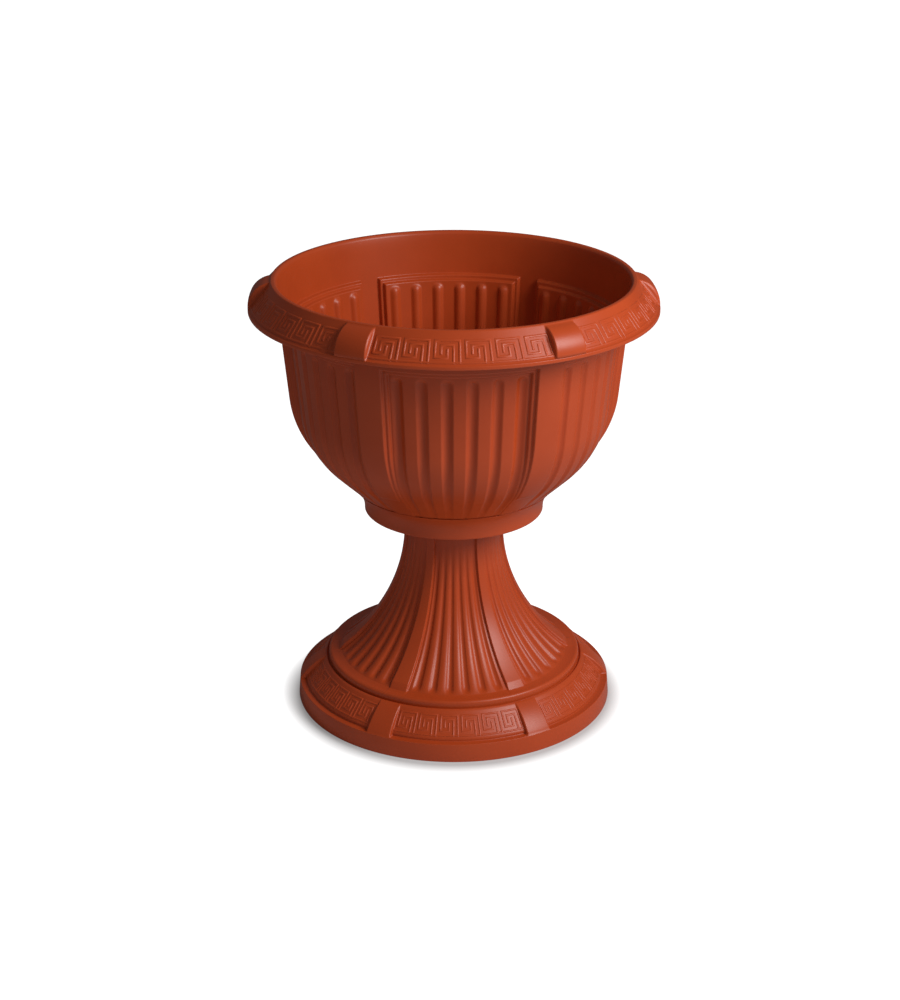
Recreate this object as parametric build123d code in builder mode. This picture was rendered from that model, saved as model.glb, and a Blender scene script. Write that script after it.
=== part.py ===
from build123d import *
import os
from math import asin, cos, degrees, radians, sin, sqrt, tan

# Urn planter in two thin mouldings, millimetres, standing on z = 0 about the z axis
HEIGHT = 445.0
WALL = 3.0
PANEL_WALL = 5.5
CLEARANCE = 0.4

# Six panels with a pilaster between each two, repeated in the rim and the base
SIDES = 6
PILASTER_ANGLE = 9.5
FLUTES = 6
FLUTE_PITCH = 8.4
FLUTE_HALF_ANGLE = 2.1
FLUTE_DEPTH_SHARE = 0.55
FLUTE_STATIONS = 6
FLUTE_FADE_POWER = 6
FLUTE_RUN_OUT = 1.02

# Bowl wall: a drafted upper wall, a round shoulder and a cone down to the collar
MOUTH_RADIUS = 174.2
DRAFT_ANGLE = 5.6
CONE_ANGLE = 47.0
FOOT_RADIUS = 99.3
SHOULDER_RADIUS = 110.0
PANEL_RECESS = 8.0
LEDGE_RECESS = 4.0
LEDGE_ANGLE = 1.4
FOOT_RELIEF = 1.2
PILASTER_RISE = 25.0
STEP_DROP = 41.0
STEP_HEIGHT = 6.5
FLUTE_TOP_GAP = 7.5
FLUTE_FOOT_GAP = 2.0

# Rim: a standing lip, a sloping frieze and blocks that round out over it
LIP_INSIDE = 170.0
LIP_OUTSIDE = 177.0
LIP_DROP = 3.5
LIP_ROUND = 1.2
FRIEZE_TOP_RADIUS = 180.7
FRIEZE_LOW_RADIUS = 198.5
RIM_RADIUS = 200.0
RIM_LAND = 3.7
RIM_DROP = 30.0

# Collar, bowl floor and the pocket that takes the pedestal
COLLAR_TOP = 231.0
COLLAR_FOOT = 205.5
COLLAR_TOP_RADIUS = 100.0
COLLAR_FOOT_RADIUS = 90.0
COLLAR_LAND = 2.0
FLOOR_UNDERSIDE = 212.0
POCKET_RADIUS = 44.4
SPIGOT_HEIGHT = 16.0

# Pedestal: a fluted stem that flares to a ring, a frieze and a plain foot band
STEM_RADIUS = 50.0
FLARE_RADIUS = 165.0
FLARE_TOP = 186.0
STEM_RECESS = 3.0
STEM_FLUTE_DROP = 18.0
RING_TOP = 49.5
RING_RADIUS = 129.5
BASE_FRIEZE_TOP_RADIUS = 132.5
BASE_FRIEZE_TOP = 43.0
BASE_FRIEZE_LOW_RADIUS = 153.5
BASE_FRIEZE_LOW = 21.0
BASE_BLOCK_SLOPE = 0.5
BAND_TOP = 18.5
BAND_RADIUS = 160.0
BASE_RADIUS = 161.5

# Clamp bolt with a square neck, its two washers and the wing nut
BOLT_RADIUS = 5.0
BOLT_NECK = 10.0
BOLT_HEAD_RADIUS = 17.0
BOLT_HEAD_HEIGHT = 6.0
BOLT_HEAD_EDGE = 2.0
BOLT_END = 194.0
EDGE_BREAK = 0.8
SEAL_THICKNESS = 2.5
WASHER_RADIUS = 14.0
WASHER_THICKNESS = 2.5
NUT_RADIUS = 10.0
NUT_HEIGHT = 12.0
WING_SPAN = 46.0
WING_DROP = 5.0
WING_HEIGHT = 14.0
WING_THICKNESS = 4.5
WING_ROUND = 2.0
WING_SHOULDER = 1.5

# Push-in drain plugs in the bowl floor
PLUGS = 3
PLUG_CIRCLE = 67.0
PLUG_RADIUS = 6.0
PLUG_FLANGE_RADIUS = 10.0
PLUG_FLANGE = 2.5
PLUG_REACH = 5.5
PLUG_TAPER = 3.0
PLUG_GRIP_HEIGHT = 9.0
PLUG_GRIP_WIDTH = 12.0
PLUG_GRIP_THICKNESS = 3.5

POCKET_CEILING = FLOOR_UNDERSIDE + SPIGOT_HEIGHT + CLEARANCE
CEILING_TOP = POCKET_CEILING + WALL
FLOOR_TOP = FLOOR_UNDERSIDE + WALL
DECK_TOP = FLOOR_UNDERSIDE + SPIGOT_HEIGHT
DECK_UNDERSIDE = DECK_TOP - WALL
SPIGOT_RADIUS = POCKET_RADIUS - CLEARANCE
RIM_FOOT = HEIGHT - RIM_DROP
FRIEZE_TOP = HEIGHT - LIP_DROP
FRIEZE_LOW = RIM_FOOT + RIM_LAND
SIDE_ANGLE = 360.0 / SIDES
STEP_TOP = HEIGHT - STEP_DROP
STEP_LOW = STEP_TOP - STEP_HEIGHT
BOWL_FLUTE_TOP = STEP_LOW - FLUTE_TOP_GAP
BOWL_FLUTE_FOOT = COLLAR_TOP + FLUTE_FOOT_GAP
PILASTER_FOOT = COLLAR_TOP + PILASTER_RISE
STEM_FLUTE_TOP = FLARE_TOP - STEM_FLUTE_DROP
STEM_FLUTE_FOOT = RING_TOP + FLUTE_FOOT_GAP
BORE_RADIUS = BOLT_RADIUS + CLEARANCE


def meridian(angle):
    """Upright plane through the axis: x runs outward at the angle, y runs up."""
    turn = radians(angle)
    return Plane(origin=(0, 0, 0), x_dir=(cos(turn), sin(turn), 0), z_dir=(sin(turn), -cos(turn), 0))


def turned(section, arc=360.0):
    """Solid of revolution of a section, whole or as a sector centred on the x axis."""
    face = section(Plane.XZ if arc == 360.0 else meridian(-arc / 2))
    with BuildPart() as solid:
        revolve(face, axis=Axis.Z, revolution_arc=arc)
    return solid.part


def skin_angle(skin, radius):
    """Angle that a wall of the skin's thickness takes off one side of a sector."""
    return degrees(asin(skin / radius))


def bowl_corners(recess, skin):
    """Mouth, shoulder and foot of the wall, at a recess below the pilasters and a skin inside."""
    draft = radians(DRAFT_ANGLE)
    cone = radians(CONE_ANGLE)
    relief = FOOT_RELIEF * (1 - recess / PANEL_RECESS)
    mouth = MOUTH_RADIUS - (recess + skin) / cos(draft)
    foot = FOOT_RADIUS - (skin - relief) / cos(cone)
    rise = tan(cone) - tan(draft)
    shoulder_z = (mouth - HEIGHT * tan(draft) - foot + COLLAR_TOP * tan(cone)) / rise
    shoulder = foot + (shoulder_z - COLLAR_TOP) * tan(cone)
    return [(mouth, HEIGHT), (shoulder, shoulder_z), (foot, COLLAR_TOP)]


def bowl_section(recess, skin, low):
    """Half section of the bowl at one level of its panels, from a height upward."""

    def section(plane):
        corners = bowl_corners(recess, skin)
        with BuildSketch(plane) as half:
            with BuildLine():
                FilletPolyline(*corners, radius=SHOULDER_RADIUS - 2 * recess - skin)
                Polyline(corners[-1], (0, COLLAR_TOP), (0, HEIGHT), corners[0])
            make_face()
            with Locations((0, low)):
                Rectangle(2 * RIM_RADIUS, HEIGHT, align=(Align.CENTER, Align.MIN), mode=Mode.INTERSECT)
        return half.sketch

    return section


def flute(spine):
    """Tapered tool down a meridian line: round at the top, running out at the foot."""
    with BuildPart() as tool:
        for step in range(FLUTE_STATIONS):
            share = step / (FLUTE_STATIONS - 1)
            point = spine @ share
            run = spine % share
            half_width = point.X * sin(radians(FLUTE_HALF_ANGLE))
            cut = half_width * FLUTE_DEPTH_SHARE
            radius = (half_width**2 + cut**2) / (2 * cut)
            sunk = cut * (1 - FLUTE_RUN_OUT * share**FLUTE_FADE_POWER)
            outward = Vector(-run.Z, 0, run.X)
            across = Plane(origin=point + outward * (radius - sunk), x_dir=(0, 1, 0), z_dir=run)
            if step == 0:
                top = (-across, radius)
            with BuildSketch(across):
                Circle(radius)
        loft()
        with Locations(top[0]):
            Sphere(top[1], arc_size1=0, align=(Align.CENTER, Align.CENTER, Align.MIN))
    return tool.part


def line_point(first, second, height):
    """Point of a sloping line at a height."""
    share = (height - first[1]) / (second[1] - first[1])
    return (first[0] + share * (second[0] - first[0]), height)


def bowl_flute():
    """Flute of a bowl panel."""
    mouth, shoulder, foot = bowl_corners(PANEL_RECESS, 0)
    top = line_point(mouth, shoulder, BOWL_FLUTE_TOP)
    low = line_point(shoulder, foot, BOWL_FLUTE_FOOT)
    with BuildLine(Plane.XZ) as spine:
        FilletPolyline(top, shoulder, low, radius=SHOULDER_RADIUS - 2 * PANEL_RECESS)
    return flute(spine.line)


def all_round(tool):
    """Copies of a flute tool, six to each panel."""
    reach = FLUTE_PITCH * (FLUTES - 1)
    starts = [SIDE_ANGLE * (side + 0.5) - reach / 2 for side in range(SIDES)]
    return [tool.rotate(Axis.Z, start + FLUTE_PITCH * flute) for start in starts for flute in range(FLUTES)]


def bowl_form(skin, panel_skin):
    """Bowl as a solid with pilasters and stepped panels, shrunk by the skins."""
    floor = turned(bowl_section(PANEL_RECESS, panel_skin, COLLAR_TOP))
    ledge_ring = turned(bowl_section(LEDGE_RECESS, skin, STEP_LOW + skin))
    top_ring = turned(bowl_section(0, skin, STEP_TOP + skin))
    narrow = 2 * skin_angle(skin, FOOT_RADIUS)
    ledge = turned(bowl_section(LEDGE_RECESS, skin, COLLAR_TOP), PILASTER_ANGLE + 2 * LEDGE_ANGLE - narrow)
    pilaster = turned(bowl_section(0, skin, PILASTER_FOOT + skin), PILASTER_ANGLE - narrow)
    with BuildPart() as form:
        add(floor)
        add(ledge_ring)
        add(top_ring)
        with PolarLocations(0, SIDES):
            add(ledge)
            add(pilaster)
    return form.part


def rim_section(block, skin):
    """Half section of the rim: straight for the frieze, rounded out for a block."""

    def section(plane):
        root = MOUTH_RADIUS - WALL / 2 - skin
        foot = RIM_FOOT - 2 * skin
        top = (FRIEZE_TOP_RADIUS, FRIEZE_TOP)
        edge = (RIM_RADIUS, FRIEZE_LOW)
        with BuildSketch(plane) as half:
            with BuildLine():
                Line((root, FRIEZE_TOP), top)
                if block:
                    TangentArc(edge, top, tangent=(0, 1))
                else:
                    Polyline(top, (FRIEZE_LOW_RADIUS, FRIEZE_LOW), edge)
                Polyline(edge, (RIM_RADIUS, foot), (root, foot), (root, FRIEZE_TOP))
            make_face()
            if skin:
                offset(amount=-skin, kind=Kind.INTERSECTION)
        return half.sketch

    return section


def ringed(section, block_arc):
    """Ring turned from a plain section with a block of another section at each pilaster."""
    plain = turned(section(False))
    block = turned(section(True), block_arc)
    with BuildPart() as form:
        add(plain)
        with PolarLocations(0, SIDES):
            add(block)
    return form.part


def rim_form(skin):
    """Rim as a solid ring with its blocks, shrunk by a skin."""
    return ringed(lambda block: rim_section(block, skin), PILASTER_ANGLE - 2 * skin_angle(skin, RIM_RADIUS))


def lip_section(plane):
    """Half section of the standing lip with its rounded top."""
    with BuildSketch(plane) as half:
        with BuildLine():
            Polyline(
                (LIP_INSIDE, HEIGHT),
                (LIP_OUTSIDE, HEIGHT),
                (LIP_OUTSIDE, FRIEZE_TOP - WALL / 2),
                (MOUTH_RADIUS - WALL / 2, FRIEZE_TOP - WALL),
                (LIP_INSIDE, FRIEZE_TOP),
                close=True,
            )
        make_face()
        fillet(half.vertices().group_by(Axis.Z)[-1], radius=LIP_ROUND)
    return half.sketch


def collar_section(plane):
    """Half section of the hollowed collar, the floor and the pocket for the pedestal."""
    land = COLLAR_FOOT + COLLAR_LAND
    inside = COLLAR_FOOT_RADIUS - WALL
    pocket_outside = POCKET_RADIUS + WALL
    with BuildSketch(plane) as half:
        with BuildLine():
            TangentArc((COLLAR_FOOT_RADIUS, land), (COLLAR_TOP_RADIUS, COLLAR_TOP), tangent=(0, 1))
            Polyline(
                (COLLAR_FOOT_RADIUS, land),
                (COLLAR_FOOT_RADIUS, COLLAR_FOOT),
                (inside, COLLAR_FOOT),
                (inside, FLOOR_UNDERSIDE),
                (POCKET_RADIUS, FLOOR_UNDERSIDE),
                (POCKET_RADIUS, POCKET_CEILING),
                (0, POCKET_CEILING),
                (0, CEILING_TOP),
                (pocket_outside, CEILING_TOP),
                (pocket_outside, FLOOR_TOP),
                (inside, FLOOR_TOP),
                (FOOT_RADIUS - PANEL_WALL / cos(radians(CONE_ANGLE)), COLLAR_TOP),
                (COLLAR_TOP_RADIUS, COLLAR_TOP),
            )
        make_face()
    return half.sketch


def flare_end(recess):
    """Radius of the flaring stem at the ring, at a recess below the pilasters."""
    return STEM_RADIUS + FLARE_RADIUS - sqrt((FLARE_RADIUS + recess) ** 2 - (FLARE_TOP - RING_TOP) ** 2)


def stem_section(recess, top):
    """Half section of the flaring stem at a recess, from the ring up to a height."""

    def section(plane):
        neck = STEM_RADIUS - recess
        end = flare_end(recess)
        foot = RING_TOP - WALL
        with BuildSketch(plane) as half:
            with BuildLine():
                TangentArc((neck, FLARE_TOP), (end, RING_TOP), tangent=(0, -1))
                Polyline((end, RING_TOP), (end, foot), (0, foot), (0, top), (neck, top), (neck, FLARE_TOP))
            make_face()
        return half.sketch

    return section


def stem_flute():
    """Flute of a stem panel."""
    radius = FLARE_RADIUS + STEM_RECESS
    start = degrees(asin((FLARE_TOP - STEM_FLUTE_TOP) / radius))
    stop = degrees(asin((FLARE_TOP - STEM_FLUTE_FOOT) / radius))
    with BuildLine(Plane.XZ) as spine:
        CenterArc((STEM_RADIUS + FLARE_RADIUS, FLARE_TOP), radius, 180 + start, stop - start)
    return flute(spine.line)


def base_section(block, skin):
    """Half section of the base: ring, frieze or block, and the plain foot band."""

    def section(plane):
        root = STEM_RADIUS - 2 * skin
        bead = (RING_TOP - BASE_FRIEZE_TOP) / 2
        crown = (RING_RADIUS, RING_TOP - bead)
        frieze = (BASE_FRIEZE_TOP_RADIUS, BASE_FRIEZE_TOP)
        band = (BAND_RADIUS, BAND_TOP)
        low = (BASE_FRIEZE_LOW_RADIUS, BASE_FRIEZE_LOW)
        with BuildSketch(plane) as half:
            with BuildLine():
                Line((root, RING_TOP), (RING_RADIUS - bead, RING_TOP))
                TangentArc((RING_RADIUS - bead, RING_TOP), crown, tangent=(1, 0))
                Polyline(crown, (RING_RADIUS, BASE_FRIEZE_TOP), frieze)
                if block:
                    TangentArc(frieze, band, tangent=(1, -BASE_BLOCK_SLOPE))
                else:
                    Polyline(frieze, low, (low[0], BAND_TOP), band)
                Polyline(band, (BASE_RADIUS, -2 * skin), (root, -2 * skin), (root, RING_TOP))
            make_face()
            if skin:
                offset(amount=-skin, kind=Kind.INTERSECTION)
        return half.sketch

    return section


def base_form(skin):
    """Base as a solid ring with its blocks, shrunk by a skin."""
    return ringed(lambda block: base_section(block, skin), PILASTER_ANGLE - 2 * skin_angle(skin, BASE_RADIUS))


bowl_outside = bowl_form(0, 0)
bowl_inside = bowl_form(WALL, PANEL_WALL)
bowl_flutes = all_round(bowl_flute())
rim_outside = rim_form(0)
rim_inside = rim_form(WALL)
lip = turned(lip_section)
collar = turned(collar_section)
with BuildPart() as rim:
    add(rim_outside)
    add(rim_inside, mode=Mode.SUBTRACT)
with BuildPart() as bowl:
    add(bowl_outside)
    add(bowl_flutes, mode=Mode.SUBTRACT)
    add(bowl_inside, mode=Mode.SUBTRACT)
    add(rim.part)
    add(lip)
    add(collar)
    with BuildSketch(Plane.XY.offset(POCKET_CEILING)):
        Rectangle(BOLT_NECK + 2 * CLEARANCE, BOLT_NECK + 2 * CLEARANCE)
    extrude(amount=WALL, mode=Mode.SUBTRACT)
    with BuildSketch(Plane.XY.offset(FLOOR_UNDERSIDE)):
        with PolarLocations(PLUG_CIRCLE, PLUGS, start_angle=SIDE_ANGLE / 2):
            Circle(PLUG_RADIUS + CLEARANCE)
    extrude(amount=WALL, mode=Mode.SUBTRACT)
bowl.part.label = "bowl"

stem_panel = turned(stem_section(STEM_RECESS, FLOOR_UNDERSIDE))
stem_pilaster = turned(stem_section(0, FLOOR_UNDERSIDE), PILASTER_ANGLE)
stem_inside = turned(stem_section(STEM_RECESS + PANEL_WALL, DECK_UNDERSIDE))
stem_flutes = all_round(stem_flute())
base_outside = base_form(0)
base_inside = base_form(WALL)
with BuildPart() as pedestal:
    add(stem_panel)
    with PolarLocations(0, SIDES):
        add(stem_pilaster)
    add(stem_flutes, mode=Mode.SUBTRACT)
    add(base_outside)
    with BuildSketch(Plane.XY.offset(FLOOR_UNDERSIDE)):
        Circle(SPIGOT_RADIUS)
    extrude(amount=SPIGOT_HEIGHT)
    add(stem_inside, mode=Mode.SUBTRACT)
    add(base_inside, mode=Mode.SUBTRACT)
    with BuildSketch(Plane.XY.offset(DECK_UNDERSIDE)):
        Circle(BORE_RADIUS)
    extrude(amount=WALL, mode=Mode.SUBTRACT)
pedestal.part.label = "pedestal"

head_foot = CEILING_TOP + SEAL_THICKNESS
head_edge = (BOLT_HEAD_RADIUS, head_foot + BOLT_HEAD_EDGE)
head_top = (0, head_foot + BOLT_HEAD_HEIGHT)
with BuildPart() as clamp_bolt:
    with BuildSketch(Plane.XZ):
        with BuildLine():
            TangentArc(head_top, head_edge, tangent=(1, 0))
            Polyline(head_edge, (BOLT_HEAD_RADIUS, head_foot), (0, head_foot), head_top)
        make_face()
    revolve(axis=Axis.Z)
    with BuildSketch(Plane.XY.offset(POCKET_CEILING)):
        Rectangle(BOLT_NECK, BOLT_NECK)
    extrude(amount=head_foot - POCKET_CEILING)
    with BuildSketch(Plane.XY.offset(BOLT_END)):
        Circle(BOLT_RADIUS)
    extrude(amount=POCKET_CEILING - BOLT_END)
    chamfer(clamp_bolt.edges().group_by(Axis.Z)[0], length=EDGE_BREAK)
clamp_bolt.part.label = "clamp_bolt"

with BuildPart() as seal_washer:
    with BuildSketch(Plane.XY.offset(CEILING_TOP)):
        Circle(BOLT_HEAD_RADIUS)
        Circle(BOLT_NECK / sqrt(2) + CLEARANCE, mode=Mode.SUBTRACT)
    extrude(amount=SEAL_THICKNESS)
seal_washer.part.label = "seal_washer"

washer_foot = DECK_UNDERSIDE - WASHER_THICKNESS
with BuildPart() as thrust_washer:
    with BuildSketch(Plane.XY.offset(washer_foot)):
        Circle(WASHER_RADIUS)
        Circle(BORE_RADIUS, mode=Mode.SUBTRACT)
    extrude(amount=WASHER_THICKNESS)
thrust_washer.part.label = "thrust_washer"

nut_foot = washer_foot - NUT_HEIGHT
wing_top = washer_foot - WING_DROP
with BuildPart() as wing_nut:
    with BuildSketch(Plane.XY.offset(nut_foot)):
        Circle(NUT_RADIUS)
    extrude(amount=NUT_HEIGHT)
    chamfer(wing_nut.edges().group_by(Axis.Z)[0], length=EDGE_BREAK)
    with BuildSketch(Plane.XZ.offset(-WING_THICKNESS / 2)):
        with BuildLine():
            Polyline(
                (BOLT_RADIUS, washer_foot - WING_SHOULDER),
                (WING_SPAN / 2, wing_top),
                (WING_SPAN / 2, wing_top - WING_HEIGHT),
                (BOLT_RADIUS, nut_foot + WING_SHOULDER),
                close=True,
            )
        make_face()
        mirror(about=Plane.YZ)
    extrude(amount=WING_THICKNESS)
    fillet(wing_nut.edges().filter_by(Axis.Y), radius=WING_ROUND)
    with BuildSketch(Plane.XY.offset(nut_foot)):
        Circle(BORE_RADIUS)
    extrude(amount=NUT_HEIGHT, mode=Mode.SUBTRACT)
wing_nut.part.label = "wing_nut"

os.makedirs("parts", exist_ok=True)
export_step(bowl.part, "parts/bowl.step")
export_step(pedestal.part, "parts/pedestal.step")
export_step(clamp_bolt.part, "parts/clamp_bolt.step")
export_step(seal_washer.part, "parts/seal_washer.step")
export_step(thrust_washer.part, "parts/thrust_washer.step")
export_step(wing_nut.part, "parts/wing_nut.step")
for number in range(1, PLUGS + 1):
    turn = radians(SIDE_ANGLE / 2 + 360.0 / PLUGS * (number - 1))
    seat = Plane(
        origin=(PLUG_CIRCLE * cos(turn), PLUG_CIRCLE * sin(turn), FLOOR_TOP),
        x_dir=(cos(turn), sin(turn), 0),
        z_dir=(0, 0, 1),
    )
    with BuildPart() as drain_plug:
        with BuildSketch(seat):
            Circle(PLUG_FLANGE_RADIUS)
        extrude(amount=PLUG_FLANGE)
        chamfer(drain_plug.edges().group_by(Axis.Z)[-1], length=EDGE_BREAK)
        with BuildSketch(seat):
            Circle(PLUG_RADIUS)
        extrude(amount=-WALL - PLUG_REACH, taper=PLUG_TAPER)
        with BuildSketch(seat.offset(PLUG_FLANGE)):
            SlotOverall(PLUG_GRIP_WIDTH, PLUG_GRIP_THICKNESS)
        extrude(amount=PLUG_GRIP_HEIGHT)
        fillet(drain_plug.edges().group_by(Axis.Z)[-1], radius=EDGE_BREAK)
    drain_plug.part.label = f"drain_plug_{number}"
    export_step(drain_plug.part, f"parts/drain_plug_{number}.step")
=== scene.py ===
import math
import bpy
import bmesh
import numpy as np
from mathutils import Matrix, Vector


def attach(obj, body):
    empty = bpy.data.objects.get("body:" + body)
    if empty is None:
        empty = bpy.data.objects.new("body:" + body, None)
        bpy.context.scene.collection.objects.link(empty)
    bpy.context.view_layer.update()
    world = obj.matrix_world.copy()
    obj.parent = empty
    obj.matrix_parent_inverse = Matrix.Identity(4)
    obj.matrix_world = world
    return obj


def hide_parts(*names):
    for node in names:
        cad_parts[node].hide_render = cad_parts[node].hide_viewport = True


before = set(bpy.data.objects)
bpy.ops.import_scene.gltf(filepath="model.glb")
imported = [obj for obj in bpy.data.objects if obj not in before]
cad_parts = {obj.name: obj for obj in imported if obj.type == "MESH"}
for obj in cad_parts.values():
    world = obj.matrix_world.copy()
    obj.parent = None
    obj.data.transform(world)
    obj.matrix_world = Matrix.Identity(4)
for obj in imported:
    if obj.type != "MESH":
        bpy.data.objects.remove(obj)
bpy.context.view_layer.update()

# Metres to a millimetre
MM = 0.001

# Sizes in millimetres, as in the part's source, with steps, lip and frieze fitted closer to the photograph
HEIGHT = 445.0
WALL = 3.0

# Sides round the axis, in degrees: pilaster, ledge beside it, and the flutes between
SIDES = 6
SIDE_ANGLE = 60.0
PILASTER_HALF = 4.75
LEDGE_HALF = 6.15
FLUTES = 6
FLUTE_PITCH = 8.4
FLUTE_HALF = 2.1

# Section of a flute: its edge as a share of its half width, and how full its curve is
FLUTE_EDGE = 0.97
FLUTE_FULLNESS = 1.1

# Bowl wall with its stepped panels and its flutes
MOUTH_RADIUS = 174.2
DRAFT = math.radians(5.6)
CONE = math.radians(47.0)
FOOT_RADIUS = 99.3
SHOULDER_RADIUS = 110.0
WALL_RADIUS = 160.0
WALL_TURN = 380.0
PANEL_RECESS = 8.0
LEDGE_RECESS = 4.0
FOOT_RELIEF = 1.2
PILASTER_FOOT = 256.0
STEP_TOP = 400.5
STEP_LOW = 396.0
FLUTE_TOP = 387.0
FLUTE_DEPTH_SHARE = 0.55
FLUTE_RUN = 178.0
FLUTE_RUN_OUT = 6

# Rim and lip, as radius and height
LIP = [(170.3, 436.0), (171.3, 442.4), (173.4, 445.0), (177.0, 445.0)]
FRIEZE_TOP = (178.0, 443.8)
FRIEZE_LOW = (198.5, 418.7)
RIM_EDGE = (200.0, 418.7)
RIM_FOOT = 415.0
RIM_UNDER = [(197.0, RIM_FOOT), (196.9, 416.2), (179.3, 438.5), (173.6, 438.5), (172.8, 430.0)]

# Collar, floor and pocket of the bowl
COLLAR_TOP = 231.0
COLLAR_FOOT = 205.5
COLLAR_LEDGE = 1.2
COLLAR_RADIUS = 100.0
NECK_RADIUS = 90.0
BORE_RADIUS = 87.0
BORE_END = (89.5, 223.0)
FLOOR_LOW = 212.0
FLOOR_TOP = 215.0
POCKET_RADIUS = 47.4
POCKET_BORE = 44.4
POCKET_LOW = 228.4
POCKET_TOP = 231.4
BOLT_ROOM = 5.4
DRAINS = 3
DRAIN_RADIUS = 6.4
DRAIN_CIRCLE = 67

# Stem of the pedestal, with its spigot, flutes and the tapered feet of its pilasters
SPIGOT_RADIUS = 44.0
SPIGOT_TOP = 228.0
DECK_LOW = 225.0
HOLLOW_RADIUS = 41.5
STEM_RADIUS = 50.0
STEM_RECESS = 3.0
STEM_SKIN = 5.5
FLARE_RADIUS = 165.0
FLARE_TOP = 186.0
STEM_FLUTE_SHARE = 0.6
STEM_FLUTE_SPREAD = 1.15
FADE_MIDDLE = 164.0
FADE_HALF = 26
FLUTE_FOOT = 2.5
TOE_SHARE = 0.35
TOE_RISE = 6

# Ring, base and foot band, as radius and height where there are two
RING_TOP = 49.5
RING_RADIUS = 129.5
GROOVE = 1.8
BASE_TOP = (132.5, 43.0)
BASE_LOW = (153.5, 21.0)
BLOCK_SLOPE = 0.5
BAND = (160.0, 18.5)
BAND_MIDDLE = (160.8, 9.0)
BASE_RADIUS = 161.5
BASE_HOLLOW = [(158.5, 0.0), (157.2, 15.5), (150.5, 15.6), (150.5, 19.8), (131.2, 40.0)]
BASE_HOLLOW += [(126.5, 40.2), (126.5, 46.5), (107.9, 46.5), (107.9, 49.0)]

# How softly the mould rounds an edge, in degrees round the axis and in millimetres
SOFT_ANGLE = 0.22
SOFT_RIM_BLOCK = 0.16
SOFT_BASE_BLOCK = 0.2
SOFT_STEM = 0.3
SOFT_EDGE = 0.8

# Rings down a frieze, round the bead of the ring, down the stem and up its hollow
FRIEZE_ROWS = 12
BEAD_ROWS = 5
STEM_ROWS = 32
STEM_CROWDING = 0.92
HOLLOW_ROWS = 30

# Heights of the stem's rings: straight neck, and above the ring, where the pilasters taper
NECK_HEIGHTS = [FLOOR_LOW, 204, 196, 188]
TOE_HEIGHTS = [RING_TOP + rise for rise in (7, 6.3, 5.8, 5.2, 4, 3, 2, 1.1, 0.5, 0)]
TOE_START = 8


def ease(x):
    """1 below -1, 0 above 1, and a smooth fall between."""
    t = np.clip((np.asarray(x, float) + 1) / 2, 0, 1)
    return 1 - t * t * (3 - 2 * t)


def around():
    """Angles round the axis in degrees, dense at the edges of pilasters, ledges and flutes."""
    edge = [0, 1.7, 3.2, 3.46, 3.68, 3.9, 4.25, 4.53, 4.75, 4.97, 5.2, 5.4, 5.93, 6.15, 6.37]
    flute = [-2.35, -2.05, -1.6, -0.9, 0, 0.9, 1.6, 2.05, 2.35]
    sector = set(edge) | {SIDE_ANGLE - a for a in edge if a}
    for k in range(FLUTES):
        middle = SIDE_ANGLE / 2 + FLUTE_PITCH * (k - (FLUTES - 1) / 2)
        sector |= {round(middle + a, 4) for a in flute}
        if k < FLUTES - 1:
            sector.add(round(middle + FLUTE_PITCH / 2, 4))
    one = sorted(sector)
    return np.array([SIDE_ANGLE * side + a for side in range(SIDES) for a in one])


ANGLES = around()
FROM_PILASTER = np.abs((ANGLES + SIDE_ANGLE / 2) % SIDE_ANGLE - SIDE_ANGLE / 2)
IN_PANEL = FROM_PILASTER - SIDE_ANGLE / 2
FROM_FLUTE = np.minimum.reduce([np.abs(IN_PANEL + FLUTE_PITCH * (k + 0.5)) for k in range(FLUTES // 2)])


def lerp(a, b, share):
    """Point or array between two."""
    return a + (b - a) * share


def closed_grid(name, rows):
    """Closed mesh from rings of points in millimetres, each ring with one point to each angle."""
    points = np.stack(rows) * MM
    count, cols = points.shape[:2]
    ids = np.arange(count * cols).reshape(count, cols)
    right = np.roll(ids, -1, axis=1)
    below = np.roll(ids, -1, axis=0)
    corner = np.roll(right, -1, axis=0)
    quads = np.stack([ids, below, corner, right], axis=-1).reshape(-1, 4)
    mesh = bpy.data.meshes.new(name)
    mesh.from_pydata(points.reshape(-1, 3).tolist(), [], quads.tolist())
    return mesh


def ring(radius, height):
    """Ring of points round the axis, from a radius and a height or arrays of them."""
    turn = np.radians(ANGLES)
    radius = np.broadcast_to(np.asarray(radius, float), turn.shape)
    height = np.broadcast_to(np.asarray(height, float), turn.shape)
    return np.stack([radius * np.cos(turn), radius * np.sin(turn), height], axis=-1)


def rings(points):
    """Rings for the points of an outline, each a radius and a height."""
    return [ring(radius, height) for radius, height in points]


def rounded(points, reach, steps=2):
    """Outline with each corner cut back and rounded a little, as a list of points."""
    made = [points[0]]
    for before, here, after in zip(points, points[1:], points[2:]):
        a, b, c = (np.array(p, float) for p in (before, here, after))
        back = min(reach, np.linalg.norm(a - b) * 0.45) * (a - b) / max(np.linalg.norm(a - b), 1e-6)
        ahead = min(reach, np.linalg.norm(c - b) * 0.45) * (c - b) / max(np.linalg.norm(c - b), 1e-6)
        for step in range(steps + 1):
            t = step / steps
            made.append(tuple(b + back * (1 - t) ** 2 + ahead * t**2))
    made.append(points[-1])
    return made


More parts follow.
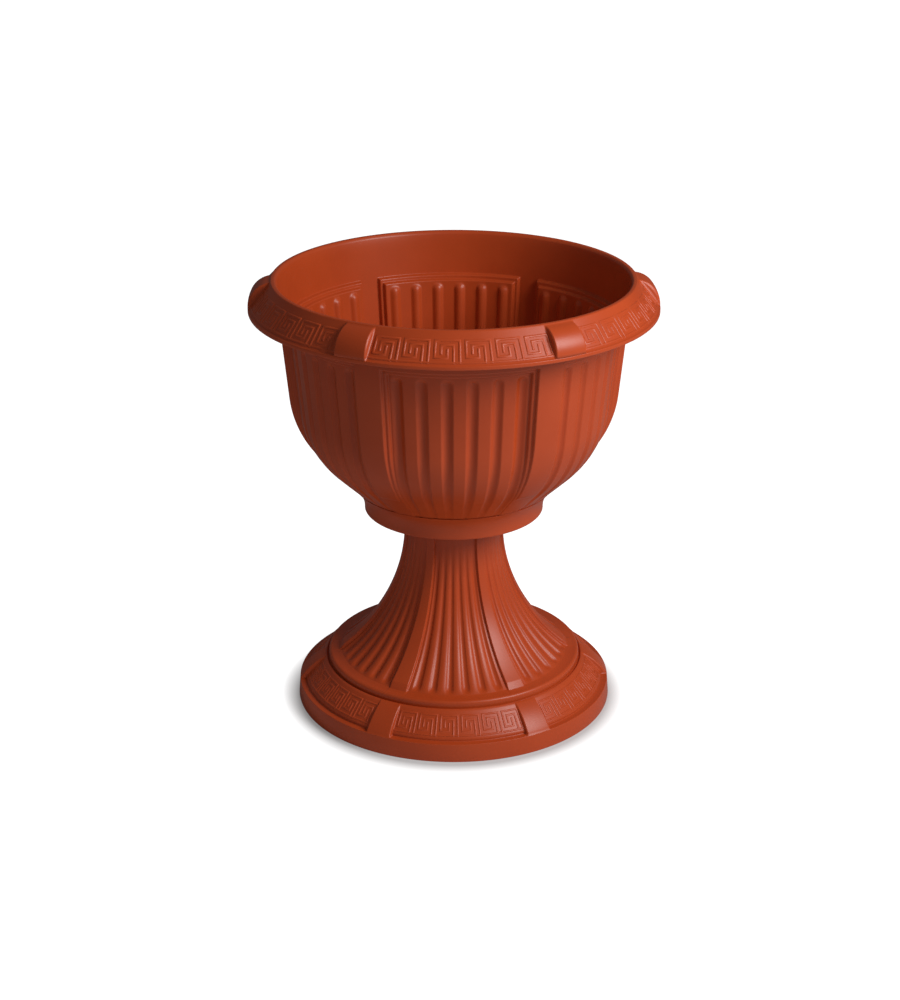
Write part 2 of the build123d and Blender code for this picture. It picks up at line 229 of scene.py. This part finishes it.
def finish_piece(name, mesh, body, crease=None):
    """Terracotta object from a mesh, normals outward, that rides on a body in place of its moulding."""
    bm = bmesh.new()
    bm.from_mesh(mesh)
    bmesh.ops.remove_doubles(bm, verts=bm.verts, dist=1e-6)
    bmesh.ops.recalc_face_normals(bm, faces=bm.faces)
    bm.to_mesh(mesh)
    bm.free()
    mesh.name = name
    mesh.shade_smooth()
    if crease is not None:
        mesh.set_sharp_from_angle(angle=math.radians(crease))
    mesh.materials.append(terracotta)
    obj = bpy.data.objects.new(name, mesh)
    bpy.context.scene.collection.objects.link(obj)
    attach(obj, body)
    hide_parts(body)


def wall_line(recess, skin):
    """The bowl wall at one level: mouth, tangent points, shoulder centre and foot, as in the source."""
    relief = FOOT_RELIEF * (1 - recess / PANEL_RECESS)
    mouth = MOUTH_RADIUS - (recess + skin) / math.cos(DRAFT)
    foot = FOOT_RADIUS - (skin - relief) / math.cos(CONE)
    rise = math.tan(CONE) - math.tan(DRAFT)
    corner_z = (mouth - HEIGHT * math.tan(DRAFT) - foot + COLLAR_TOP * math.tan(CONE)) / rise
    corner = np.array([foot + (corner_z - COLLAR_TOP) * math.tan(CONE), corner_z])
    radius = SHOULDER_RADIUS - 2 * recess - skin
    reach = radius * math.tan((CONE - DRAFT) / 2)
    high = corner + reach * np.array([math.sin(DRAFT), math.cos(DRAFT)])
    low = corner - reach * np.array([math.sin(CONE), math.cos(CONE)])
    centre = high - radius * np.array([math.cos(DRAFT), -math.sin(DRAFT)])
    return {"mouth": mouth, "high": high, "low": low, "centre": centre, "radius": radius, "foot": foot}


def wall_point(line, place):
    """Point and outward normal of a wall line at a height, or at a place down the shoulder and cone."""
    if place > LOWEST_HEIGHT:
        normal = (math.cos(DRAFT), -math.sin(DRAFT))
        return np.array([line["mouth"] - (HEIGHT - place) * math.tan(DRAFT), place]), normal
    start = np.array([line["mouth"] - (HEIGHT - WALL_TURN) * math.tan(DRAFT), WALL_TURN])
    if place < 1:
        return lerp(start, line["high"], place), (math.cos(DRAFT), -math.sin(DRAFT))
    if place < 2:
        turn = lerp(DRAFT, CONE, place - 1)
        out = np.array([math.cos(turn), -math.sin(turn)])
        return line["centre"] + line["radius"] * out, tuple(out)
    foot = np.array([line["foot"], COLLAR_TOP])
    return lerp(line["low"], foot, place - 2), (math.cos(CONE), -math.sin(CONE))


# Where the wall has its rings: heights, then places from 0 to 3 down the shoulder and cone
LOWEST_HEIGHT = 100
WALL_HEIGHTS = [430, 420, 410, 403, 401.9, 401.3, 400.9, 400.5, 400.1, 399.7, 398.9, 397.9, 397.2]
WALL_HEIGHTS += [396.8, 396.4, 396, 395.6, 395.2, 394.4, 392.6, 391.4, 390.2, 388.8, 387, 383]
WALL_PLACES = WALL_HEIGHTS + [0.01, 0.35, 0.7] + [1 + k / 14 for k in range(13)]
WALL_PLACES += [1.91, 1.93, 1.942, 1.955, 1.968, 1.98, 2, 2.08, 2.2, 2.35, 2.5, 2.65, 2.8, 2.92, 2.97, 3.0]


def groove(half_width, across, above):
    """Depth share of a flute at a distance across it, with a round end above its top."""
    away = np.sqrt(across**2 + np.maximum(above, 0) ** 2) / half_width
    return np.clip(1 - (away / FLUTE_EDGE) ** 2, 0, 1) ** FLUTE_FULLNESS


def wall_rows(skin):
    """Rings of the bowl wall from the rim down to the collar, outside or a skin inside it."""
    levels = [wall_line(recess, skin) for recess in (PANEL_RECESS, LEDGE_RECESS, 0)]
    narrow = math.degrees(math.asin(skin / WALL_RADIUS))
    pilaster = ease((FROM_PILASTER - PILASTER_HALF + narrow) / SOFT_ANGLE)
    ledge = ease((FROM_PILASTER - LEDGE_HALF + narrow) / SOFT_ANGLE)
    rows = []
    for place in WALL_PLACES:
        (floor, normal), (middle, _), (high, _) = (wall_point(line, place) for line in levels)
        z = floor[1]
        step = ease((STEP_TOP - z) / SOFT_EDGE)
        low_step = ease((STEP_LOW - z) / SOFT_EDGE)
        end = 1 - ease((z - PILASTER_FOOT) / SOFT_EDGE)
        top = np.maximum(pilaster * end, step)
        mid = np.maximum(np.maximum(ledge, low_step), top)
        point = floor[:, None] + (middle - floor)[:, None] * mid + (high - middle)[:, None] * top
        # How far down the wall from the flutes' tops
        travel = FLUTE_TOP - z if place > LOWEST_HEIGHT else travel + np.linalg.norm(floor - last)
        last = floor
        radius = floor[0] + skin
        half_width = radius * math.sin(math.radians(FLUTE_HALF))
        cut = FLUTE_DEPTH_SHARE * half_width * (1 - min(max(travel, 0) / FLUTE_RUN, 1) ** FLUTE_RUN_OUT)
        across = radius * np.sin(np.radians(FROM_FLUTE))
        depth = cut * groove(half_width, across, -travel) * (1 - mid)
        rows.append(ring(point[0] - depth * normal[0], point[1] - depth * normal[1]))
    if not skin:
        rows[-1] = ring(FOOT_RADIUS - COLLAR_LEDGE, COLLAR_TOP)
    return rows


def bowl_wall():
    """Bowl moulding without its floor: lip, rim with blocks, wall outside and inside, and collar."""
    block = ease((FROM_PILASTER - PILASTER_HALF) / SOFT_RIM_BLOCK)
    top, edge = np.array(FRIEZE_TOP), np.array(RIM_EDGE)
    frieze_low = np.array(FRIEZE_LOW)
    rows = rings(rounded(LIP + [FRIEZE_TOP], 1.0, 3))
    chord = edge - top
    span = chord @ chord / (2 * chord[0])
    arc_middle = np.array([edge[0] - span, edge[1]])
    last_turn = math.atan2(top[1] - arc_middle[1], top[0] - arc_middle[0])
    for k in range(1, FRIEZE_ROWS + 1):
        t = k / FRIEZE_ROWS
        flat = lerp(top, frieze_low, t)
        turn = last_turn * (1 - t)
        bulge = arc_middle + span * np.array([math.cos(turn), math.sin(turn)])
        rows.append(ring(lerp(flat[0], bulge[0], block), lerp(flat[1], bulge[1], block)))
    skirt = [FRIEZE_LOW, RIM_EDGE, (RIM_EDGE[0], RIM_FOOT)] + RIM_UNDER
    rows += rings(rounded(skirt, 0.6)[1:-1])
    rows += wall_rows(0)
    collar = [(FOOT_RADIUS - COLLAR_LEDGE, COLLAR_TOP), (COLLAR_RADIUS, COLLAR_TOP)]
    collar += cavetto((NECK_RADIUS, COLLAR_FOOT + 2), (COLLAR_RADIUS, COLLAR_TOP), 8)[::-1]
    collar += [(NECK_RADIUS, COLLAR_FOOT), (BORE_RADIUS, COLLAR_FOOT), (BORE_RADIUS, FLOOR_LOW)]
    rows += rings(rounded(collar, 0.4, 1)[1:])
    rows += rings([(BORE_RADIUS, FLOOR_TOP), BORE_END])
    rows += wall_rows(WALL)[::-1]
    return closed_grid("bowl_wall", rows)


def cavetto(start, end, steps):
    """Arc that leaves the start upright and ends at the end."""
    run = np.array(end) - np.array(start)
    radius = (run @ run) / (2 * run[0])
    sweep = math.asin(run[1] / radius)
    made = []
    for k in range(steps + 1):
        turn = sweep * k / steps
        made.append((start[0] + radius * (1 - math.cos(turn)), start[1] + radius * math.sin(turn)))
    return made


def circle(radius, count, middle=(0, 0)):
    """Points of a circle."""
    turns = [math.tau * k / count for k in range(count)]
    return [(middle[0] + radius * math.cos(t), middle[1] + radius * math.sin(t)) for t in turns]


def plate(outlines, low, high):
    """Flat plate with holes between two heights, from closed outlines in millimetres."""
    curve = bpy.data.curves.new("outline", "CURVE")
    curve.dimensions = "2D"
    curve.fill_mode = "BOTH"
    curve.extrude = (high - low) * MM / 2
    for points in outlines:
        spline = curve.splines.new("POLY")
        spline.points.add(len(points) - 1)
        for p, (x, y) in zip(spline.points, points):
            p.co = (x * MM, y * MM, 0, 1)
        spline.use_cyclic_u = True
    holder = bpy.data.objects.new("outline", curve)
    bpy.context.scene.collection.objects.link(holder)
    graph = bpy.context.evaluated_depsgraph_get()
    mesh = bpy.data.meshes.new_from_object(holder.evaluated_get(graph))
    bpy.data.objects.remove(holder)
    bpy.data.curves.remove(curve)
    mesh.transform(Matrix.Translation((0, 0, (low + high) * MM / 2)))
    return mesh


def joined(name, meshes):
    """One mesh from several."""
    bm = bmesh.new()
    for mesh in meshes:
        bm.from_mesh(mesh)
        bpy.data.meshes.remove(mesh)
    mesh = bpy.data.meshes.new(name)
    bm.to_mesh(mesh)
    bm.free()
    return mesh


def bowl_floor():
    """Floor with its drain holes, and the pocket over the pedestal with its square hole."""
    seats = [math.radians(30 + 360 / DRAINS * k) for k in range(DRAINS)]
    middles = [(DRAIN_CIRCLE * math.cos(t), DRAIN_CIRCLE * math.sin(t)) for t in seats]
    holes = [circle(DRAIN_RADIUS, 40, middle) for middle in middles]
    pocket = circle(POCKET_RADIUS, 120)
    square = [(x * BOLT_ROOM, y * BOLT_ROOM) for x, y in ((-1, -1), (1, -1), (1, 1), (-1, 1))]
    floor = plate([circle(BORE_RADIUS, 160), pocket] + holes, FLOOR_LOW, FLOOR_TOP)
    ceiling = plate([pocket, square], POCKET_LOW, POCKET_TOP)
    tube = plate([pocket, circle(POCKET_BORE, 120)], FLOOR_LOW, POCKET_LOW)
    return joined("bowl_floor", [floor, ceiling, tube])


def flare(recess, height):
    """Radius of the flaring stem."""
    drop = max(FLARE_TOP - height, 0)
    return STEM_RADIUS + FLARE_RADIUS - math.sqrt((FLARE_RADIUS + recess) ** 2 - drop**2)


def stem_rows():
    """Rings of the fluted stem from under the bowl down to the ring."""
    pilaster = ease((FROM_PILASTER - PILASTER_HALF) / SOFT_STEM)
    drop = FLARE_TOP - RING_TOP - TOE_START
    shares = [(k / STEM_ROWS) ** STEM_CROWDING for k in range(1, STEM_ROWS + 1)]
    rows = []
    for z in NECK_HEIGHTS + [FLARE_TOP - drop * share for share in shares] + TOE_HEIGHTS:
        slope = math.asin(min(max(FLARE_TOP - z, 0) / (FLARE_RADIUS + STEM_RECESS), 1))
        low, high = flare(STEM_RECESS, z), flare(0, z)
        half_width = low * math.sin(math.radians(FLUTE_HALF))
        fade = 1 - float(ease((FADE_MIDDLE - z) / FADE_HALF)) if z < FLARE_TOP else 0.0
        foot = 1 - float(ease((z - RING_TOP - FLUTE_FOOT) / FLUTE_FOOT))
        across = low * np.sin(np.radians(FROM_FLUTE))
        section = groove(half_width * STEM_FLUTE_SPREAD, across, 0)
        depth = STEM_FLUTE_SHARE * half_width * fade * foot * section * (1 - pilaster)
        toe = lerp(TOE_SHARE, 1, min((z - RING_TOP) / TOE_RISE, 1))
        radius = lerp(low, high, pilaster * toe)
        rows.append(ring(radius - depth * math.cos(slope), z - depth * math.sin(slope)))
    return rows


def pedestal_wall():
    """Pedestal moulding: spigot, fluted stem, ring, frieze with blocks, foot band, and its hollow."""
    spigot = [(BOLT_ROOM, DECK_LOW), (BOLT_ROOM, SPIGOT_TOP)]
    spigot += [(SPIGOT_RADIUS, SPIGOT_TOP), (SPIGOT_RADIUS, FLOOR_LOW)]
    rows = rings(rounded(spigot, 0.5)[1:])
    rows += stem_rows()
    bead = (RING_TOP - BASE_TOP[1]) / 2
    crown = [(RING_RADIUS - bead, RING_TOP)]
    for k in range(1, BEAD_ROWS + 1):
        turn = math.radians(90 - 90 / BEAD_ROWS * k)
        crown.append((RING_RADIUS - bead + bead * math.cos(turn), RING_TOP - bead + bead * math.sin(turn)))
    rows += rings(crown)
    bed = BASE_TOP[1] - GROOVE
    under = [crown[-1], (RING_RADIUS - 0.4, bed), (RING_RADIUS + 1.0, bed)]
    under += [(BASE_TOP[0] - 0.8, BASE_TOP[1]), BASE_TOP]
    rows += rings(rounded(under, 0.4)[1:])
    block = ease((FROM_PILASTER - PILASTER_HALF) / SOFT_BASE_BLOCK)
    top, low, band = np.array(BASE_TOP), np.array(BASE_LOW), np.array(BAND)
    chord = band - top
    first_turn = math.atan(BLOCK_SLOPE)
    inward = -np.array([math.sin(first_turn), math.cos(first_turn)])
    span = chord @ chord / (2 * chord @ inward)
    arc_middle = top + span * inward
    last_turn = math.atan2(band[0] - arc_middle[0], band[1] - arc_middle[1])
    shelf = BAND[1]
    flats = [lerp(top, low, k / FRIEZE_ROWS) for k in range(1, FRIEZE_ROWS + 1)]
    flats += [np.array(p) for p in ((low[0], shelf + 1.2), (low[0], shelf + 0.3), (low[0] + 0.8, shelf))]
    flats += [np.array([BAND[0] - 0.6, shelf])]
    for k, flat in enumerate(flats):
        turn = lerp(first_turn, last_turn, (k + 1) / (len(flats) + 1))
        bulge = arc_middle + span * np.array([math.sin(turn), math.cos(turn)])
        rows.append(ring(lerp(flat[0], bulge[0], block), lerp(flat[1], bulge[1], block)))
    foot = [flats[-1], BAND, BAND_MIDDLE, (BASE_RADIUS, 0.0)] + BASE_HOLLOW
    rows += rings(rounded(foot, 0.5)[1:])
    for k in range(HOLLOW_ROWS):
        z = lerp(RING_TOP, FLARE_TOP, k / (HOLLOW_ROWS - 1))
        rows.append(ring(flare(STEM_RECESS + STEM_SKIN, z), z))
    rows += rings([(HOLLOW_RADIUS, DECK_LOW - 0.5), (HOLLOW_RADIUS - 0.5, DECK_LOW), (BOLT_ROOM, DECK_LOW)])
    return closed_grid("pedestal_wall", rows)


# One unit of the key pattern: strokes in tenths of its width and height
KEY_STROKES = [
    [(9.5, 0.0), (9.5, 10.0), (1.5, 10.0), (1.5, 2.3), (5.5, 2.3), (5.5, 5.8)],
    [(7.5, 0.0), (7.5, 7.8), (3.5, 7.8), (3.5, 4.3)],
]
KEY_UNITS = 6
RIM_KEY = {"lift": 3.2, "height": 21.0, "width": 2.7, "rise": 0.5}
BASE_KEY = {"lift": 3.4, "height": 20.5, "width": 2.2, "rise": 0.5}

# Half of a stroke's section, from its foot in the frieze to its top: shares of its width and rise
STROKE_HALF = [(0.5, -0.4), (0.44, 0.15), (0.28, 0.75), (0.1, 1.0)]
STROKE_END_SLOPE = 0.16
STROKE_STEP = 5


def stroke_mesh(bm, place, points, width, rise):
    """Raised bar along a line of square corners, on the surface that place() maps it to."""
    line = []
    for a, b in zip(points, points[1:]):
        a, b = np.array(a, float), np.array(b, float)
        steps = max(1, int(np.linalg.norm(b - a) / STROKE_STEP))
        line += [lerp(a, b, k / steps) for k in range(steps)]
    line.append(np.array(points[-1], float))
    profile = [(-x, y) for x, y in STROKE_HALF] + STROKE_HALF[::-1]
    rows = []
    for k, p in enumerate(line):
        ahead = line[min(k + 1, len(line) - 1)] - p
        back = p - line[max(k - 1, 0)]
        ahead = back if not ahead.any() else ahead
        back = ahead if not back.any() else back
        ahead, back = ahead / np.linalg.norm(ahead), back / np.linalg.norm(back)
        side = np.array([-back[1] - ahead[1], back[0] + ahead[0]])
        side /= side @ np.array([-ahead[1], ahead[0]])
        end = (k == len(line) - 1) - (k == 0)
        row = []
        for across, height in profile:
            reach = 0.5 - STROKE_END_SLOPE * max(height, 0)
            q = p + side * width * across + ahead * end * width * reach
            row.append(bm.verts.new(Vector(place(q[0], q[1], rise * height)) * MM))
        rows.append(row)
    for first, second in zip(rows, rows[1:]):
        for k in range(len(first)):
            j = (k + 1) % len(first)
            bm.faces.new([first[k], first[j], second[j], second[k]])
    bm.faces.new(rows[0])
    bm.faces.new(rows[-1][::-1])


def key_band(name, top, low, lift, height, width, rise):
    """Key pattern over a border line, six units to each side, raised on a sloping frieze."""
    top, low = np.array(top), np.array(low)
    slope = (top - low) / np.linalg.norm(top - low)
    normal = np.array([slope[1], -slope[0]])
    middle = (top[0] + low[0]) / 2
    pitch = math.radians(FLUTE_PITCH) * middle
    strokes = [[(0.0, 0.0), (KEY_UNITS * 10.0, 0.0)]]
    for unit in range(KEY_UNITS):
        strokes += [[(x + 10 * unit, y) for x, y in stroke] for stroke in KEY_STROKES]
    bm = bmesh.new()
    for side in range(SIDES):
        start = math.radians(SIDE_ANGLE * (side + 0.5) - FLUTE_PITCH * KEY_UNITS / 2)

        def place(x, y, out):
            point = low + slope * y + normal * out
            turn = start + x / middle
            return (point[0] * math.cos(turn), point[0] * math.sin(turn), point[1])

        for stroke in strokes:
            points = [(x * pitch / 10, lift + y * height / 10) for x, y in stroke]
            stroke_mesh(bm, place, points, width, rise)
    mesh = bpy.data.meshes.new(name)
    bm.to_mesh(mesh)
    bm.free()
    return mesh


# Where a Mix node has its two colours and its result
MIX_A, MIX_B, MIX_RESULT = 6, 7, 2


def moulded_plastic(name, colour, shade, roughness, grain):
    """Moulded plastic: cloudy colour, edges painted lighter as a highlight, fine grain and uneven sheen."""
    material = bpy.data.materials.new(name)
    material.use_nodes = True
    nodes, links = material.node_tree.nodes, material.node_tree.links
    shader = nodes["Principled BSDF"]
    shader.inputs["Specular IOR Level"].default_value = 0.3
    where = nodes.new("ShaderNodeTexCoord")
    cloud = nodes.new("ShaderNodeTexNoise")
    cloud.inputs["Scale"].default_value = 14
    cloud.inputs["Detail"].default_value = 5
    links.new(where.outputs["Object"], cloud.inputs["Vector"])
    tint = nodes.new("ShaderNodeMix")
    tint.data_type = "RGBA"
    tint.inputs[MIX_A].default_value = (*shade, 1)
    tint.inputs[MIX_B].default_value = (*colour, 1)
    spread = nodes.new("ShaderNodeMapRange")
    spread.inputs["From Min"].default_value = 0.3
    spread.inputs["From Max"].default_value = 0.7
    links.new(cloud.outputs["Fac"], spread.inputs["Value"])
    links.new(spread.outputs["Result"], tint.inputs["Factor"])
    # Painted highlight: edges turn lighter by their pointiness
    edges = nodes.new("ShaderNodeNewGeometry")
    painted_edge_highlight = nodes.new("ShaderNodeMapRange")
    painted_edge_highlight.inputs["From Min"].default_value = 0.52
    painted_edge_highlight.inputs["From Max"].default_value = 0.62
    painted_edge_highlight.inputs["To Max"].default_value = 0.35
    links.new(edges.outputs["Pointiness"], painted_edge_highlight.inputs["Value"])
    # Lighter copy of the colour, mixed in on edges as a painted highlight
    lift = nodes.new("ShaderNodeMix")
    lift.data_type = "RGBA"
    lift.inputs[MIX_B].default_value = (*[min(1, c * 1.25 + 0.03) for c in colour], 1)
    links.new(tint.outputs[MIX_RESULT], lift.inputs[MIX_A])
    links.new(painted_edge_highlight.outputs["Result"], lift.inputs["Factor"])
    links.new(lift.outputs[MIX_RESULT], shader.inputs["Base Color"])
    fine = nodes.new("ShaderNodeTexNoise")
    fine.inputs["Scale"].default_value = grain
    fine.inputs["Detail"].default_value = 3
    links.new(where.outputs["Object"], fine.inputs["Vector"])
    sheen = nodes.new("ShaderNodeMapRange")
    sheen.inputs["To Min"].default_value = roughness - 0.05
    sheen.inputs["To Max"].default_value = roughness + 0.07
    links.new(fine.outputs["Fac"], sheen.inputs["Value"])
    links.new(sheen.outputs["Result"], shader.inputs["Roughness"])
    bump = nodes.new("ShaderNodeBump")
    bump.inputs["Strength"].default_value = 0.05
    bump.inputs["Distance"].default_value = 0.0004
    links.new(fine.outputs["Fac"], bump.inputs["Height"])
    links.new(bump.outputs["Normal"], shader.inputs["Normal"])
    return material


terracotta = moulded_plastic("terracotta_plastic", (0.44, 0.058, 0.012), (0.39, 0.048, 0.009), 0.36, 900)
black = moulded_plastic("black_plastic", (0.03, 0.03, 0.032), (0.022, 0.022, 0.023), 0.5, 1200)
rubber = moulded_plastic("seal_rubber", (0.02, 0.02, 0.02), (0.014, 0.014, 0.014), 0.75, 1500)
plug = moulded_plastic("plug_plastic", (0.3, 0.06, 0.022), (0.26, 0.05, 0.018), 0.5, 1100)

finish_piece("bowl_wall", bowl_wall(), "bowl")
finish_piece("bowl_floor", bowl_floor(), "bowl", crease=40)
finish_piece("pedestal_wall", pedestal_wall(), "pedestal")
rim_key = key_band("rim_key", FRIEZE_TOP, FRIEZE_LOW, **RIM_KEY)
finish_piece("rim_key", rim_key, "bowl", crease=50)
base_key = key_band("base_key", BASE_TOP, BASE_LOW, **BASE_KEY)
finish_piece("base_key", base_key, "pedestal", crease=50)

finishes = {"clamp_bolt": black, "wing_nut": black, "thrust_washer": black, "seal_washer": rubber}
finishes.update({f"drain_plug_{k}": plug for k in (1, 2, 3)})
for node, material in finishes.items():
    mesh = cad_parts[node].data
    mesh.materials.clear()
    mesh.materials.append(material)


# Light: surround, a broad key at the right, and the floor's tone by kind of ray, with painted shade round
# the foot under its glow to white
FILL = 0.2
GLOSS_FILL = 0.08
KEY_POWER = 21.0
KEY_SIZE = 0.7
KEY_PLACE = (1.0, -0.7, 1.15)
KEY_AIM = (0.0, 0.0, 0.3)
GROUND_TONE = (0.9, 0.35, 0.4)
# Glow that only the camera sees on the floor, weak at the foot and full a little way out: the grey band
# round the foot is partly the cast shadow and partly painted shade
PAINTED_SHADE_GLOW = (0.2, 1.0)
PAINTED_SHADE_REACH = (0.161, 0.181)
# Middle of that painted shade, a little towards the front
PAINTED_SHADE_MIDDLE = (0.0, -0.006, 0.0)

# Camera: distance from the axis, height, image scale, turn about the axis, pitch and sideways aim
CAMERA_DISTANCE = 1.887
CAMERA_HEIGHT = 0.9793
CAMERA_SCALE = 2014.5
CAMERA_TURN = math.radians(-2.0)
CAMERA_PITCH = math.radians(22.158)
CAMERA_AIM = math.radians(0.117)


def ranged(tree, value, low, high, start=0.0, stop=1.0):
    """Output of a map-range node that carries a value from one range to another."""
    node = tree.nodes.new("ShaderNodeMapRange")
    node.inputs["From Min"].default_value = start
    node.inputs["From Max"].default_value = stop
    node.inputs["To Min"].default_value = low
    node.inputs["To Max"].default_value = high
    tree.links.new(value, node.inputs["Value"])
    return node.outputs["Result"]


def by_path(tree, lit, mirrored, seen):
    """Output that differs for diffuse rays, glossy rays and the camera."""
    path = tree.nodes.new("ShaderNodeLightPath")
    node = tree.nodes.new("ShaderNodeMapRange")
    node.inputs["To Max"].default_value = seen
    tree.links.new(ranged(tree, path.outputs["Is Glossy Ray"], lit, mirrored), node.inputs["To Min"])
    tree.links.new(path.outputs["Is Camera Ray"], node.inputs["Value"])
    return node.outputs["Result"]


def floor_with_painted_shade():
    """Pale matt floor that the camera sees go to white away from the object, with painted shade round its
    foot where the glow is weak.
    """
    material = bpy.data.materials.new("floor_with_painted_shade")
    material.use_nodes = True
    tree = material.node_tree
    shader = tree.nodes["Principled BSDF"]
    shader.inputs["Roughness"].default_value = 0.9
    shader.inputs["Specular IOR Level"].default_value = 0.1
    seen = tree.nodes.new("ShaderNodeLightPath").outputs["Is Camera Ray"]
    tree.links.new(by_path(tree, *GROUND_TONE), shader.inputs["Base Color"])
    # Painted shade: the glow is weakest near the floor's middle, round the object's foot
    away = tree.nodes.new("ShaderNodeVectorMath")
    away.operation = "LENGTH"
    tree.links.new(tree.nodes.new("ShaderNodeTexCoord").outputs["Object"], away.inputs[0])
    share = tree.nodes.new("ShaderNodeMath")
    share.operation = "MULTIPLY"
    tree.links.new(ranged(tree, away.outputs["Value"], *PAINTED_SHADE_GLOW, *PAINTED_SHADE_REACH), share.inputs[0])
    tree.links.new(seen, share.inputs[1])
    glow = tree.nodes.new("ShaderNodeEmission")
    tree.links.new(share.outputs["Value"], glow.inputs["Strength"])
    both = tree.nodes.new("ShaderNodeAddShader")
    tree.links.new(shader.outputs["BSDF"], both.inputs[0])
    tree.links.new(glow.outputs["Emission"], both.inputs[1])
    tree.links.new(both.outputs["Shader"], tree.nodes["Material Output"].inputs["Surface"])
    return material


def stage():
    """Floor, a surround that the camera sees as white, and a broad soft light from the right."""
    # The floor's middle, and with it the painted shade round the foot, sits a little towards the front
    bpy.ops.mesh.primitive_plane_add(size=40, location=PAINTED_SHADE_MIDDLE)
    floor = bpy.context.object
    floor.name = "floor"
    floor.data.materials.append(floor_with_painted_shade())
    world = bpy.data.worlds.new("surround")
    bpy.context.scene.world = world
    world.use_nodes = True
    tree = world.node_tree
    tree.nodes["Background"].inputs["Color"].default_value = (1, 1, 1, 1)
    tree.links.new(by_path(tree, FILL, GLOSS_FILL, 1.0), tree.nodes["Background"].inputs["Strength"])
    lamp = bpy.data.lights.new("key", "AREA")
    lamp.energy = KEY_POWER
    lamp.size = KEY_SIZE
    key = bpy.data.objects.new("key", lamp)
    bpy.context.scene.collection.objects.link(key)
    key.location = KEY_PLACE
    key.rotation_mode = "QUATERNION"
    key.rotation_quaternion = (Vector(KEY_AIM) - Vector(KEY_PLACE)).to_track_quat("-Z", "Y")


def camera():
    """Camera fitted to the photograph's lip and base ellipses."""
    data = bpy.data.cameras.new("camera")
    data.sensor_width = 36
    data.lens = CAMERA_SCALE * data.sensor_width / 1000
    data.clip_start = 0.05
    data.clip_end = 60
    data.dof.use_dof = False
    eye = bpy.data.objects.new("camera", data)
    bpy.context.scene.collection.objects.link(eye)
    aim = CAMERA_TURN + CAMERA_AIM
    level = math.cos(CAMERA_PITCH)
    side, back = math.sin(CAMERA_TURN), math.cos(CAMERA_TURN)
    eye.location = (CAMERA_DISTANCE * side, -CAMERA_DISTANCE * back, CAMERA_HEIGHT)
    look = Vector((-math.sin(aim) * level, math.cos(aim) * level, -math.sin(CAMERA_PITCH)))
    eye.rotation_mode = "QUATERNION"
    eye.rotation_quaternion = look.to_track_quat("-Z", "Y")
    bpy.context.scene.camera = eye


stage()
camera()
bpy.context.scene.view_settings.view_transform = "Standard"
